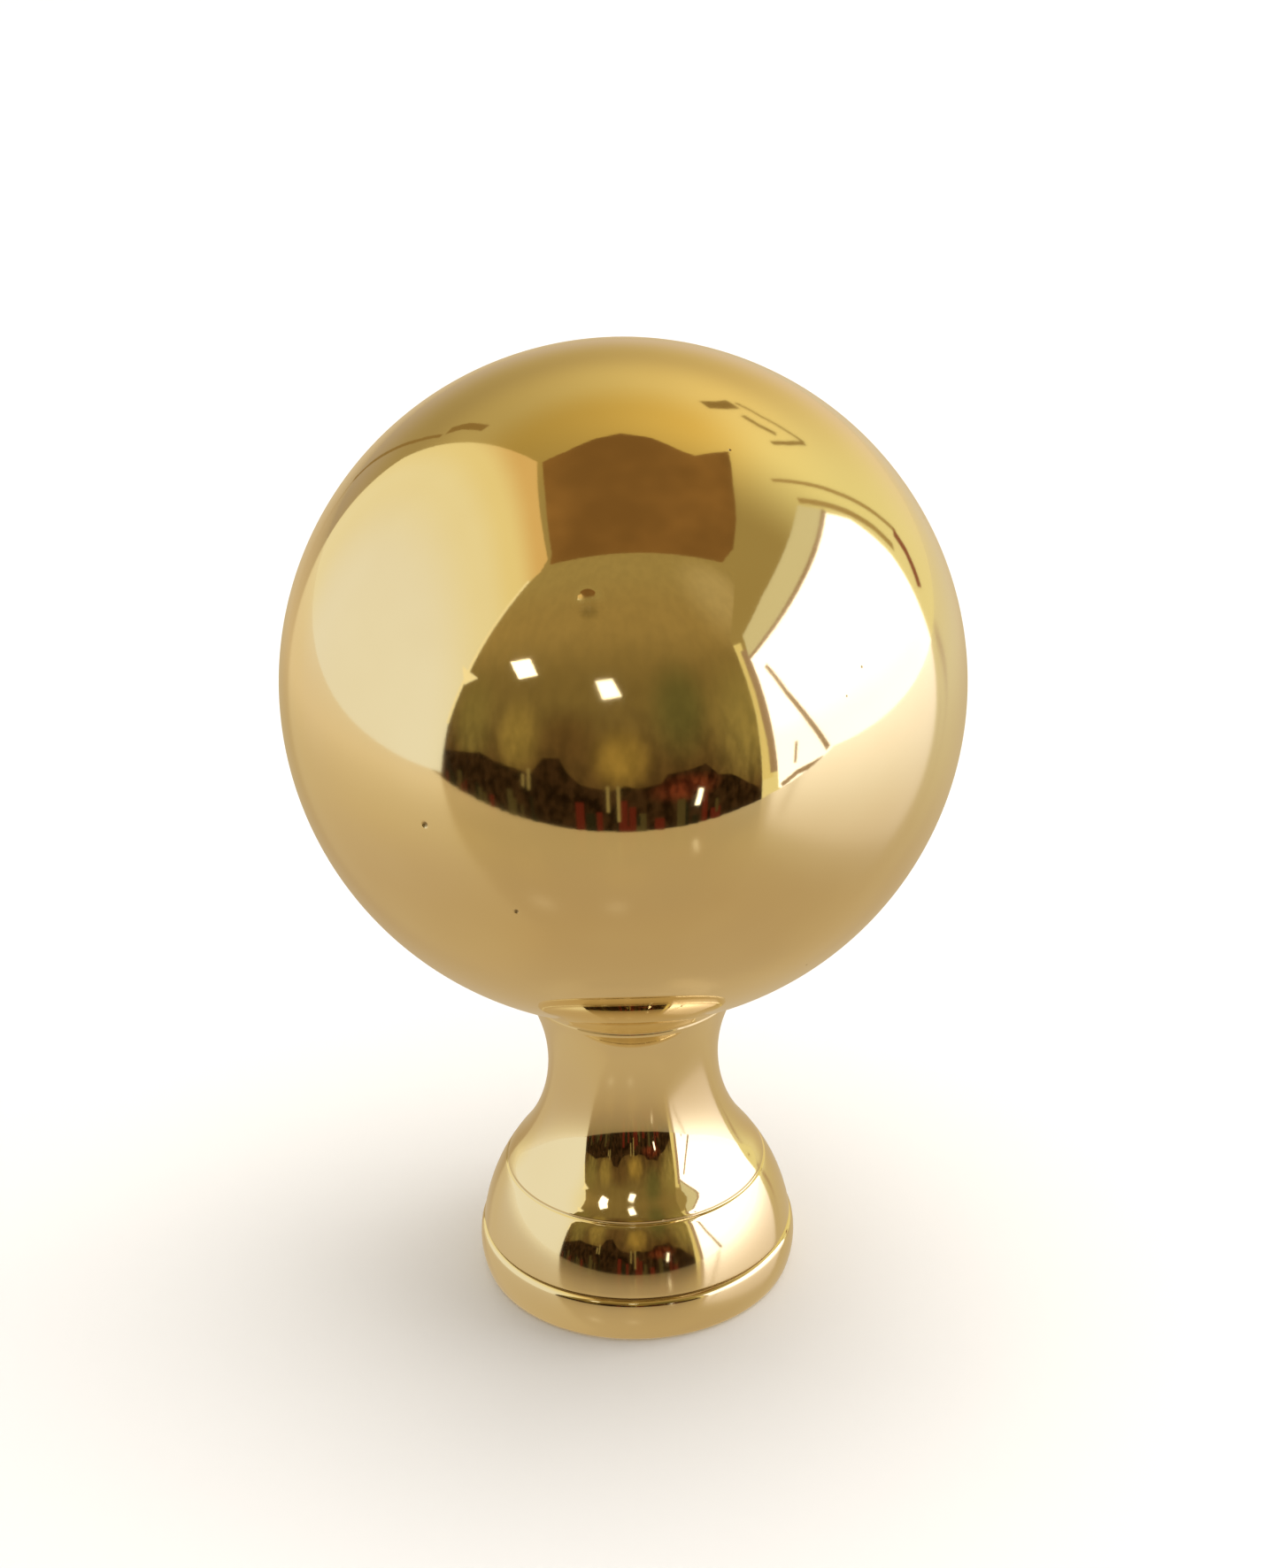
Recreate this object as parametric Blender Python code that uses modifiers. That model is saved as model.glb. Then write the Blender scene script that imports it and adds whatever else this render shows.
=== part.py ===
"""Ball finial: a polished brass ball on a waisted neck and a bell-shaped foot, all turned in one piece.

The foot stands on a flat underside with a blind hole, tapped for a stud, at its centre.
Lengths are in metres, +Z is up, and the origin is the centre of the underside.
"""

import math

import bpy
from mathutils import Vector

# Ball
BALL_DIAMETER = 0.0508
BALL_UNDERSIDE_HEIGHT = 0.0254
BALL_FILLET_RADIUS = 0.0014

# Neck: a hollow sweep that leaves the ball at the neck's top and is thinnest at the waist
NECK_TOP_DIAMETER = 0.0198
WAIST_DIAMETER = 0.0135
WAIST_HEIGHT = 0.0189
LOWER_NECK_RADIUS = 0.0131

# Bell: the convex part of the foot, from the neck's sweep down to its rim
BELL_RIM_FLARE = math.radians(9.0)

# Band: the rounded ring under the bell, proud of its rim, with a narrow line cut between the two
FOOT_DIAMETER = 0.0256
BAND_STEP = 0.00035
BAND_LINE_WIDTH = 0.0002
BAND_TOP_HEIGHT = 0.0039
BAND_MIDDLE_HEIGHT = 0.0023
BAND_CROWN_RADIUS = 0.0058
BAND_SHOULDER_RADIUS = 0.0006
BASE_EDGE_RADIUS = 0.0006

# Turned lines: shallow V grooves at the neck's top and round the bell
NECK_LINE_DROP = 0.0019
NECK_LINE_WIDTH = 0.0005
NECK_LINE_DEPTH = 0.00015
BELL_LINE_HEIGHT = 0.0096
BELL_LINE_WIDTH = 0.0006
BELL_LINE_DEPTH = 0.00018

# Blind hole in the underside: the tapping drill of an M8 thread
HOLE_DIAMETER = 0.0068
HOLE_DEPTH = 0.0140
HOLE_COUNTERSINK = 0.0008
DRILL_POINT_ANGLE = math.radians(118.0)

# Facets: how far a chord may lie from its arc, and the turning steps round the axis
CHORD_SAG = 0.00003
TURNING_STEPS = 64
SHARP_EDGE_ANGLE = math.radians(28.0)
AXIS_MERGE_DISTANCE = 0.000001

BRASS_COLOUR = (0.88, 0.74, 0.42, 1.0)
BRASS_ROUGHNESS = 0.08


def direction(angle):
    """Unit vector in the profile's plane (radius, height), at an angle above the +radius axis."""
    return Vector((math.cos(angle), math.sin(angle)))


def angle_of(vector):
    return math.atan2(vector.y, vector.x)


def arc(centre, radius, start, end):
    """Points from one angle to another, close enough together for the chord sag."""
    widest_step = 2.0 * math.acos(1.0 - CHORD_SAG / radius)
    steps = max(1, math.ceil(abs(end - start) / widest_step))
    angles = [start + (end - start) * i / steps for i in range(steps + 1)]
    return [centre + radius * direction(angle) for angle in angles]


def grooved_arc(centre, radius, start, end, groove_angle, width, depth):
    """An arc with one V groove. A negative depth cuts into a hollow arc, whose metal lies outside it."""
    half_width = math.copysign(0.5 * width / radius, end - start)
    bottom = centre + (radius - depth) * direction(groove_angle)
    above = arc(centre, radius, start, groove_angle - half_width)
    below = arc(centre, radius, groove_angle + half_width, end)
    return above + [bottom] + below


def height_angle(centre, radius, height):
    """Angle, between -90 and +90 degrees, of the arc's point at a height."""
    return math.asin((height - centre.y) / radius)


def inner_crossing(first, first_radius, second, second_radius):
    """Of the two points where two circles cross, the one nearer the axis."""
    between = second - first
    distance = between.length
    along = (first_radius**2 - second_radius**2 + distance**2) / (2.0 * distance)
    aside = math.sqrt(first_radius**2 - along**2)
    across = Vector((-between.y, between.x)) / distance
    middle = first + between * (along / distance)
    return min(middle + aside * across, middle - aside * across, key=lambda point: point.x)


def hollow_centre(radius):
    """Centre of a hollow arc of this radius that is upright at the waist."""
    return Vector((0.5 * WAIST_DIAMETER + radius, WAIST_HEIGHT))


def upper_neck_radius(ball):
    """Radius of the hollow that is upright at the waist and meets the ball at the neck's top."""
    reach = 0.5 * (NECK_TOP_DIAMETER - WAIST_DIAMETER)
    rise = neck_top_height(ball) - WAIST_HEIGHT
    return (reach**2 + rise**2) / (2.0 * reach)


def neck_top_height(ball):
    return ball.y - math.sqrt((0.5 * BALL_DIAMETER) ** 2 - (0.5 * NECK_TOP_DIAMETER) ** 2)


def ball_and_fillet(ball, neck, neck_radius):
    """Ball from its top down, its fillet, and the angle at which the fillet runs into the neck's hollow."""
    radius = 0.5 * BALL_DIAMETER
    fillet = inner_crossing(
        ball, radius + BALL_FILLET_RADIUS, neck, neck_radius - BALL_FILLET_RADIUS
    )
    ball_end = angle_of(fillet - ball)
    neck_start = angle_of(fillet - neck)
    fillet_start = angle_of(ball - fillet)
    turn = (neck_start - fillet_start) % (2.0 * math.pi)
    if turn > math.pi:
        turn -= 2.0 * math.pi
    points = arc(ball, radius, 0.5 * math.pi, ball_end)
    points += arc(fillet, BALL_FILLET_RADIUS, fillet_start, fillet_start + turn)[1:]
    return points, neck_start


def upper_neck(neck, neck_radius, start, line_height):
    """Hollow from the ball's fillet down to the waist, with the line near its top."""
    line = math.pi - height_angle(neck, neck_radius, line_height)
    return grooved_arc(
        neck, neck_radius, start, math.pi, line, NECK_LINE_WIDTH, -NECK_LINE_DEPTH
    )


def bell_circle(neck):
    """Centre and radius of the arc that leaves the neck's hollow smoothly and reaches the rim at its flare."""
    rim = Vector((0.5 * FOOT_DIAMETER - BAND_STEP, BAND_TOP_HEIGHT + BAND_LINE_WIDTH))
    outward = direction(BELL_RIM_FLARE)
    offset = rim - neck
    spare = offset.length_squared - LOWER_NECK_RADIUS**2
    radius = spare / (2.0 * (LOWER_NECK_RADIUS + offset.dot(outward)))
    return rim - radius * outward, radius


def lower_neck_and_bell():
    """Hollow from the waist down, then the bell with its line, down to the rim."""
    neck = hollow_centre(LOWER_NECK_RADIUS)
    bell, bell_radius = bell_circle(neck)
    bell_start = angle_of(neck - bell)
    bell_line = height_angle(bell, bell_radius, BELL_LINE_HEIGHT)
    points = arc(neck, LOWER_NECK_RADIUS, math.pi, math.pi + bell_start)
    points += grooved_arc(
        bell, bell_radius, bell_start, BELL_RIM_FLARE, bell_line, BELL_LINE_WIDTH, BELL_LINE_DEPTH
    )[1:]
    return points


def band():
    """Proud ring: a rounded shoulder, a crowned face, and a small round into the flat underside."""
    crown = Vector((0.5 * FOOT_DIAMETER - BAND_CROWN_RADIUS, BAND_MIDDLE_HEIGHT))
    shoulder_reach = BAND_CROWN_RADIUS - BAND_SHOULDER_RADIUS
    shoulder_rise = BAND_TOP_HEIGHT - BAND_SHOULDER_RADIUS - crown.y
    shoulder_angle = math.asin(shoulder_rise / shoulder_reach)
    shoulder = crown + shoulder_reach * direction(shoulder_angle)
    edge_reach = BAND_CROWN_RADIUS - BASE_EDGE_RADIUS
    edge_angle = math.asin((BASE_EDGE_RADIUS - crown.y) / edge_reach)
    edge = crown + edge_reach * direction(edge_angle)
    points = arc(shoulder, BAND_SHOULDER_RADIUS, 0.5 * math.pi, shoulder_angle)
    points += arc(crown, BAND_CROWN_RADIUS, shoulder_angle, edge_angle)[1:]
    points += arc(edge, BASE_EDGE_RADIUS, edge_angle, -0.5 * math.pi)[1:]
    return points


def hole():
    """Countersink, wall and drill point of the blind hole, from the underside up to the axis."""
    radius = 0.5 * HOLE_DIAMETER
    point_height = radius / math.tan(0.5 * DRILL_POINT_ANGLE)
    return [
        Vector((radius + HOLE_COUNTERSINK, 0.0)),
        Vector((radius, HOLE_COUNTERSINK)),
        Vector((radius, HOLE_DEPTH)),
        Vector((0.0, HOLE_DEPTH + point_height)),
    ]


def finial_profile():
    """Whole turned outline, from the ball's top down its outside, under the foot and up the hole."""
    ball = Vector((0.0, BALL_UNDERSIDE_HEIGHT + 0.5 * BALL_DIAMETER))
    neck_radius = upper_neck_radius(ball)
    neck = hollow_centre(neck_radius)
    line_height = neck_top_height(ball) - NECK_LINE_DROP
    points, neck_start = ball_and_fillet(ball, neck, neck_radius)
    points[0].x = 0.0
    points += upper_neck(neck, neck_radius, neck_start, line_height)[1:]
    points += lower_neck_and_bell()[1:]
    points += band()
    points += hole()
    return points


def brass():
    material = bpy.data.materials.new("polished_brass")
    material.use_nodes = True
    shader = material.node_tree.nodes["Principled BSDF"]
    shader.inputs["Base Color"].default_value = BRASS_COLOUR
    shader.inputs["Metallic"].default_value = 1.0
    shader.inputs["Roughness"].default_value = BRASS_ROUGHNESS
    material.diffuse_color = BRASS_COLOUR
    return material


def turned_mesh(name, profile):
    """Mesh of a profile turned a full circle about Z, smooth but for its real edges."""
    outline = bpy.data.meshes.new(name + "_outline")
    edges = [(i, i + 1) for i in range(len(profile) - 1)]
    outline.from_pydata([(point.x, 0.0, point.y) for point in profile], edges, [])
    lathe = bpy.data.objects.new(name + "_lathe", outline)
    bpy.context.scene.collection.objects.link(lathe)
    screw = lathe.modifiers.new("Turn", "SCREW")
    screw.axis = "Z"
    screw.angle = 2.0 * math.pi
    screw.steps = TURNING_STEPS
    screw.render_steps = TURNING_STEPS
    screw.use_merge_vertices = True
    screw.merge_threshold = AXIS_MERGE_DISTANCE
    bpy.context.view_layer.update()
    graph = bpy.context.evaluated_depsgraph_get()
    mesh = bpy.data.meshes.new_from_object(lathe.evaluated_get(graph))
    mesh.name = name
    mesh.shade_smooth()
    mesh.set_sharp_from_angle(angle=SHARP_EDGE_ANGLE)
    bpy.data.objects.remove(lathe)
    bpy.data.meshes.remove(outline)
    return mesh


def build():
    for leftover in list(bpy.data.objects):
        bpy.data.objects.remove(leftover)
    parts = bpy.data.collections.new("ball_finial_parts")
    bpy.context.scene.collection.children.link(parts)
    mesh = turned_mesh("ball_finial", finial_profile())
    mesh.materials.append(brass())
    parts.objects.link(bpy.data.objects.new("ball_finial", mesh))


build()
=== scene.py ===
"""Looks of the ball finial: one piece of turned and polished brass, and the studio that it mirrors.

Lengths are in metres, +Z is up, and the finial's underside is centred on the origin.
The finial is a mirror, so most of what shows on it is the room of cards round it, which only reflections see.
"""

import math
import random

import bmesh
import bpy
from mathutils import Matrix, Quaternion, Vector


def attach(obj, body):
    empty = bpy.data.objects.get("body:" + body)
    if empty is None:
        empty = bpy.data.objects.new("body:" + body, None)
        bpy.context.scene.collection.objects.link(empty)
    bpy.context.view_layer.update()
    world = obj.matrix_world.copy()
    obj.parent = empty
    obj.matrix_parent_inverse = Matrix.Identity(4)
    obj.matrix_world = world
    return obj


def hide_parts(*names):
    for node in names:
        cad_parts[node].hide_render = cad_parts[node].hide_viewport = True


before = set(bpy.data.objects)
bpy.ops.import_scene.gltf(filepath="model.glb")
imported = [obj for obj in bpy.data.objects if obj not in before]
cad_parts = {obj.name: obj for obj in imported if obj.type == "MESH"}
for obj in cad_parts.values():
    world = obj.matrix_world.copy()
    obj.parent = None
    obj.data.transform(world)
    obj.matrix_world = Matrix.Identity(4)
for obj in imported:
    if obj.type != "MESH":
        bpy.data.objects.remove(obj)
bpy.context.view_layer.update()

# Turned outline, by the solid's named sizes. Only the line round the bell is narrower and shallower here.
BALL_DIAMETER = 0.0508
BALL_UNDERSIDE_HEIGHT = 0.0254
BALL_FILLET_RADIUS = 0.0014
NECK_TOP_DIAMETER = 0.0198
WAIST_DIAMETER = 0.0135
WAIST_HEIGHT = 0.0189
LOWER_NECK_RADIUS = 0.0131
BELL_RIM_FLARE = math.radians(9.0)
FOOT_DIAMETER = 0.0256
BAND_STEP = 0.00035
BAND_LINE_WIDTH = 0.0002
BAND_TOP_HEIGHT = 0.0039
BAND_MIDDLE_HEIGHT = 0.0023
BAND_CROWN_RADIUS = 0.0058
BAND_SHOULDER_RADIUS = 0.0006
BASE_EDGE_RADIUS = 0.0006
NECK_LINE_DROP = 0.0019
NECK_LINE_WIDTH = 0.0005
NECK_LINE_DEPTH = 0.00015
BELL_LINE_HEIGHT = 0.0096
BELL_LINE_WIDTH = 0.00042
BELL_LINE_DEPTH = 0.00007

BALL_RADIUS = 0.5 * BALL_DIAMETER
BALL_CENTRE = Vector((0.0, BALL_UNDERSIDE_HEIGHT + BALL_RADIUS))

# Softening of the outline's sharp corners and lines
RIM_EASE = 0.00009
BAND_LINE_EASE = 0.00006

# Tapped hole in the underside
HOLE_DIAMETER = 0.0068
HOLE_DEPTH = 0.0140
HOLE_COUNTERSINK = 0.0008
DRILL_POINT_ANGLE = math.radians(118.0)
THREAD_DIAMETER = 0.0080
THREAD_PITCH = 0.00125
THREAD_RUN_OUT = 0.0012
FLAT_RING_RADIUS = 0.0060

# Mesh: distance between rows along the outline, and steps round the axis
BALL_ROW = 0.00054
FOOT_ROW = 0.00038
SMALL_ROW = 0.00007
HOLE_ROW = 0.00015
LINE_ROWS = 12
EASE_ROWS = 6
TURNING_STEPS = 320
HOLE_STEPS = 72
SHARP_EDGE_ANGLE = math.radians(40.0)
AXIS_MERGE_DISTANCE = 0.000001

# Marks on the ball: azimuth (0 faces the camera, + to its right), elevation, radius and depth.
# A negative depth stands proud.
BUMPS = (
    (-5.9, 35.0, 0.00115, -0.000140),
)
PITS = (
    (-32.3, -1.7, 0.00030, 0.000110),
    (-18.1, -14.9, 0.00024, 0.000090),
)
SMALL_PITS = 14
SMALL_PIT_AZIMUTHS = (20.0, 320.0)
SMALL_PIT_ELEVATIONS = (-45.0, 75.0)
SMALL_PIT_RADII = (0.00010, 0.00018)
SMALL_PIT_DEPTH_SHARE = 0.25
SEED = 7

# Finer mesh round a mark: cells across it, and how far each halving reaches, in the mark's radii
MARK_CELLS = 4.0
MARK_REACH = 1.4
MARK_REACH_STEP = 0.5

# Dirt, from 0 to 1, that stays at the bottom of each line and mark, and how far it spreads
NECK_LINE_DIRT = 0.2
BELL_LINE_DIRT = 0.4
BAND_LINE_DIRT = 1.0
BAND_LINE_DIRT_REACH = 1.2
PIT_DIRT = 1.0
BUMP_DIRT = 0.35
MARK_DIRT_GAIN = 1.6


def direction(angle):
    """Unit vector in the outline's plane (radius, height), at an angle above the +radius axis."""
    return Vector((math.cos(angle), math.sin(angle)))


def angle_of(vector):
    return math.atan2(vector.y, vector.x)


def arc(centre, radius, start, end, row):
    """Points from one angle to another, about one row apart."""
    steps = max(3, math.ceil(abs(end - start) * radius / row))
    angles = [start + (end - start) * i / steps for i in range(steps + 1)]
    return [centre + radius * direction(angle) for angle in angles]


def grooved_arc(centre, radius, start, end, groove_angle, width, depth):
    """An arc with one soft turned line. A negative depth cuts into a hollow arc, with metal outside it."""
    half_width = math.copysign(0.5 * width / radius, end - start)
    line = []
    for i in range(1, LINE_ROWS):
        across = 2.0 * i / LINE_ROWS - 1.0
        dip = 0.5 * depth * (1.0 + math.cos(math.pi * across))
        line.append(centre + (radius - dip) * direction(groove_angle + across * half_width))
    above = arc(centre, radius, start, groove_angle - half_width, FOOT_ROW)
    below = arc(centre, radius, groove_angle + half_width, end, FOOT_ROW)
    return above + line + below


def eased_corner(before, corner, after, reach):
    """Corner between two nearly straight runs, as a short curve that starts and ends a reach away."""
    start = corner + (before - corner).normalized() * reach
    end = corner + (after - corner).normalized() * reach
    points = []
    for i in range(EASE_ROWS + 1):
        share = i / EASE_ROWS
        points.append(start.lerp(corner, share).lerp(corner.lerp(end, share), share))
    return points


def height_angle(centre, radius, height):
    """Angle, between -90 and +90 degrees, of the arc's point at a height."""
    return math.asin((height - centre.y) / radius)


def inner_crossing(first, first_radius, second, second_radius):
    """Of the two points where two circles cross, the one nearer the axis."""
    between = second - first
    distance = between.length
    along = (first_radius**2 - second_radius**2 + distance**2) / (2.0 * distance)
    aside = math.sqrt(first_radius**2 - along**2)
    across = Vector((-between.y, between.x)) / distance
    middle = first + between * (along / distance)
    return min(middle + aside * across, middle - aside * across, key=lambda point: point.x)


def hollow_centre(radius):
    """Centre of a hollow arc of this radius that is upright at the waist."""
    return Vector((0.5 * WAIST_DIAMETER + radius, WAIST_HEIGHT))


def neck_top_height():
    """Height at which the neck would meet the ball without their fillet."""
    return BALL_CENTRE.y - math.sqrt(BALL_RADIUS**2 - (0.5 * NECK_TOP_DIAMETER) ** 2)


def neck_line_height():
    return neck_top_height() - NECK_LINE_DROP


def ball_and_upper_neck():
    """Ball from its top down, the fillet under it, and the hollow down to the waist with its line."""
    reach = 0.5 * (NECK_TOP_DIAMETER - WAIST_DIAMETER)
    rise = neck_top_height() - WAIST_HEIGHT
    neck_radius = (reach**2 + rise**2) / (2.0 * reach)
    neck = hollow_centre(neck_radius)
    fillet = inner_crossing(
        BALL_CENTRE, BALL_RADIUS + BALL_FILLET_RADIUS, neck, neck_radius - BALL_FILLET_RADIUS
    )
    fillet_start = angle_of(BALL_CENTRE - fillet)
    neck_start = angle_of(fillet - neck)
    turn = (neck_start - fillet_start) % (2.0 * math.pi)
    if turn > math.pi:
        turn -= 2.0 * math.pi
    line = math.pi - height_angle(neck, neck_radius, neck_line_height())
    points = arc(BALL_CENTRE, BALL_RADIUS, 0.5 * math.pi, angle_of(fillet - BALL_CENTRE), BALL_ROW)
    points[0].x = 0.0
    points += arc(fillet, BALL_FILLET_RADIUS, fillet_start, fillet_start + turn, 2.0 * SMALL_ROW)[1:]
    points += grooved_arc(
        neck, neck_radius, neck_start, math.pi, line, NECK_LINE_WIDTH, -NECK_LINE_DEPTH
    )[1:]
    return points


def lower_neck_and_bell():
    """Hollow from the waist down, then the bell with its line, down to the rim."""
    neck = hollow_centre(LOWER_NECK_RADIUS)
    rim = Vector((0.5 * FOOT_DIAMETER - BAND_STEP, BAND_TOP_HEIGHT + BAND_LINE_WIDTH))
    outward = direction(BELL_RIM_FLARE)
    offset = rim - neck
    spare = offset.length_squared - LOWER_NECK_RADIUS**2
    bell_radius = spare / (2.0 * (LOWER_NECK_RADIUS + offset.dot(outward)))
    bell = rim - bell_radius * outward
    bell_start = angle_of(neck - bell)
    line = height_angle(bell, bell_radius, BELL_LINE_HEIGHT)
    points = arc(neck, LOWER_NECK_RADIUS, math.pi, math.pi + bell_start, FOOT_ROW)
    points += grooved_arc(
        bell, bell_radius, bell_start, BELL_RIM_FLARE, line, BELL_LINE_WIDTH, BELL_LINE_DEPTH
    )[1:]
    return points


def band(bell_rim, above_rim):
    """The bell's eased rim, the line under it, the proud ring, and the flat underside's outer part."""
    crown = Vector((0.5 * FOOT_DIAMETER - BAND_CROWN_RADIUS, BAND_MIDDLE_HEIGHT))
    shoulder_reach = BAND_CROWN_RADIUS - BAND_SHOULDER_RADIUS
    shoulder_angle = math.asin((BAND_TOP_HEIGHT - BAND_SHOULDER_RADIUS - crown.y) / shoulder_reach)
    shoulder = crown + shoulder_reach * direction(shoulder_angle)
    edge_reach = BAND_CROWN_RADIUS - BASE_EDGE_RADIUS
    edge_angle = math.asin((BASE_EDGE_RADIUS - crown.y) / edge_reach)
    edge = crown + edge_reach * direction(edge_angle)
    line_bottom = shoulder + BAND_SHOULDER_RADIUS * direction(0.5 * math.pi)
    shoulder_start = 0.5 * math.pi - BAND_LINE_EASE / BAND_SHOULDER_RADIUS
    shoulder_first = shoulder + BAND_SHOULDER_RADIUS * direction(shoulder_start)
    points = eased_corner(above_rim, bell_rim, line_bottom, RIM_EASE)
    points += eased_corner(bell_rim, line_bottom, shoulder_first, BAND_LINE_EASE)
    points += arc(shoulder, BAND_SHOULDER_RADIUS, shoulder_start, shoulder_angle, SMALL_ROW)[1:]
    points += arc(crown, BAND_CROWN_RADIUS, shoulder_angle, edge_angle, FOOT_ROW)[1:]
    points += arc(edge, BASE_EDGE_RADIUS, edge_angle, -0.5 * math.pi, 2.0 * SMALL_ROW)[1:]
    points.append(Vector((FLAT_RING_RADIUS, 0.0)))
    return points


def outside_outline():
    """Whole outside, from the ball's top down to a ring on the flat underside, outside the hole's mouth."""
    points = ball_and_upper_neck()
    points += lower_neck_and_bell()[1:]
    rim = points.pop()
    points += band(rim, points[-1])
    return points


def hole_outline():
    """Countersink, wall and drill point, from the underside up to the axis."""
    radius = 0.5 * HOLE_DIAMETER
    rows = round((HOLE_DEPTH - HOLE_COUNTERSINK) / HOLE_ROW)
    rise = (HOLE_DEPTH - HOLE_COUNTERSINK) / rows
    points = [Vector((radius + HOLE_COUNTERSINK, 0.0))]
    points += [Vector((radius, HOLE_COUNTERSINK + rise * i)) for i in range(rows + 1)]
    points.append(Vector((0.0, HOLE_DEPTH + radius / math.tan(0.5 * DRILL_POINT_ANGLE))))
    return points


def turned(bm, outline, steps):
    """Adds an outline turned a full circle about Z to a mesh under construction."""
    mesh = bpy.data.meshes.new("outline")
    edges = [(i, i + 1) for i in range(len(outline) - 1)]
    mesh.from_pydata([(point.x, 0.0, point.y) for point in outline], edges, [])
    lathe = bpy.data.objects.new("lathe", mesh)
    bpy.context.scene.collection.objects.link(lathe)
    screw = lathe.modifiers.new("Turn", "SCREW")
    screw.axis = "Z"
    screw.angle = 2.0 * math.pi
    screw.steps = steps
    screw.render_steps = steps
    screw.use_merge_vertices = True
    screw.merge_threshold = AXIS_MERGE_DISTANCE
    bpy.context.view_layer.update()
    graph = bpy.context.evaluated_depsgraph_get()
    result = bpy.data.meshes.new_from_object(lathe.evaluated_get(graph))
    bm.from_mesh(result)
    bpy.data.objects.remove(lathe)
    bpy.data.meshes.remove(mesh)
    bpy.data.meshes.remove(result)


def cut_thread(bm):
    """Moves the hole's wall out into a helical V thread that fades at both ends."""
    crest = 0.5 * HOLE_DIAMETER
    depth = 0.5 * (THREAD_DIAMETER - HOLE_DIAMETER)
    for vertex in bm.verts:
        radius = math.hypot(vertex.co.x, vertex.co.y)
        height = vertex.co.z
        if abs(radius - crest) > AXIS_MERGE_DISTANCE or height > HOLE_DEPTH:
            continue
        turn = height / THREAD_PITCH - math.atan2(vertex.co.y, vertex.co.x) / (2.0 * math.pi)
        groove = 1.0 - abs(2.0 * (turn % 1.0) - 1.0)
        ends = min(height - HOLE_COUNTERSINK, HOLE_DEPTH - height) / THREAD_RUN_OUT
        reach = (radius + depth * groove * min(1.0, max(0.0, ends))) / radius
        vertex.co.x *= reach
        vertex.co.y *= reach


def on_ball(azimuth, elevation):
    """Point of the ball's surface, by the azimuth and elevation of its normal in degrees."""
    side = math.radians(azimuth)
    up = math.radians(elevation)
    out = Vector((math.sin(side) * math.cos(up), -math.cos(side) * math.cos(up), math.sin(up)))
    return ball_centre() + BALL_RADIUS * out


def ball_centre():
    return Vector((0.0, 0.0, BALL_CENTRE.y))


def refine(bm, place, radius):
    """Halves the mesh's cells round a place until a mark of this radius spans several of them."""
    halvings = max(0, math.ceil(math.log2(BALL_ROW * MARK_CELLS / radius)))
    for i in range(halvings):
        reach = radius * (MARK_REACH + MARK_REACH_STEP * (halvings - i))
        near = [face for face in bm.faces if (face.calc_center_median() - place).length < reach]
        edges = {edge for face in near for edge in face.edges}
        made = bmesh.ops.subdivide_edges(bm, edges=list(edges), cuts=1, use_grid_fill=True)
        for vertex in {item for item in made["geom_inner"] if isinstance(item, bmesh.types.BMVert)}:
            out = vertex.co - ball_centre()
            vertex.co = ball_centre() + out * (BALL_RADIUS / out.length)


def dent(bm, place, radius, depth):
    """Presses a soft round hollow into the ball in place, or raises it by a negative depth."""
    refine(bm, place, radius)
    inward = (ball_centre() - place).normalized()
    for vertex in bm.verts:
        share = (vertex.co - place).length / radius
        if share < 1.0:
            vertex.co += inward * depth * (1.0 - share**2) ** 2


def marks():
    """Every mark on the ball as (place, radius, depth): those that show, and a few tiny ones all round."""
    found = [(on_ball(*mark[:2]), *mark[2:]) for mark in BUMPS + PITS]
    draw = random.Random(SEED)
    for i in range(SMALL_PITS):
        azimuth = draw.uniform(*SMALL_PIT_AZIMUTHS)
        elevation = draw.uniform(*SMALL_PIT_ELEVATIONS)
        radius = draw.uniform(*SMALL_PIT_RADII)
        found.append((on_ball(azimuth, elevation), radius, SMALL_PIT_DEPTH_SHARE * radius))
    return found


def line_dirt(place):
    """How much polish and dirt the turned lines hold at a point: 0 to 1."""
    band_line = BAND_TOP_HEIGHT + 0.5 * BAND_LINE_WIDTH
    lines = (
        (neck_line_height(), 0.5 * NECK_LINE_WIDTH, NECK_LINE_DIRT),
        (BELL_LINE_HEIGHT, 0.5 * BELL_LINE_WIDTH, BELL_LINE_DIRT),
        (band_line, BAND_LINE_DIRT_REACH * BAND_LINE_WIDTH, BAND_LINE_DIRT),
    )
    return max(most * max(0.0, 1.0 - abs(place.z - height) / reach) for height, reach, most in lines)


def mark_dirt(place, mark):
    """How much dirt a pit, or haze a bump, holds at a point: below 0 outside it."""
    centre, radius, depth = mark
    most = PIT_DIRT if depth > 0.0 else BUMP_DIRT
    return most * min(1.0, MARK_DIRT_GAIN * (1.0 - (place - centre).length / radius))


def finial_mesh():
    """The whole finial as one closed mesh, with the dirt at each vertex as an attribute."""
    bm = bmesh.new()
    turned(bm, hole_outline(), HOLE_STEPS)
    cut_thread(bm)
    turned(bm, outside_outline(), TURNING_STEPS)
    bmesh.ops.bridge_loops(bm, edges=[edge for edge in bm.edges if edge.is_boundary])
    ball_marks = marks()
    for mark in ball_marks:
        dent(bm, *mark)
    bmesh.ops.recalc_face_normals(bm, faces=bm.faces)
    dirt = bm.verts.layers.float.new("dirt")
    for vertex in bm.verts:
        vertex[dirt] = max(line_dirt(vertex.co), *(mark_dirt(vertex.co, mark) for mark in ball_marks))
    mesh = bpy.data.meshes.new("turned_brass_finial")
    bm.to_mesh(mesh)
    bm.free()
    mesh.shade_smooth()
    mesh.set_sharp_from_angle(angle=SHARP_EDGE_ANGLE)
    return mesh


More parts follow.
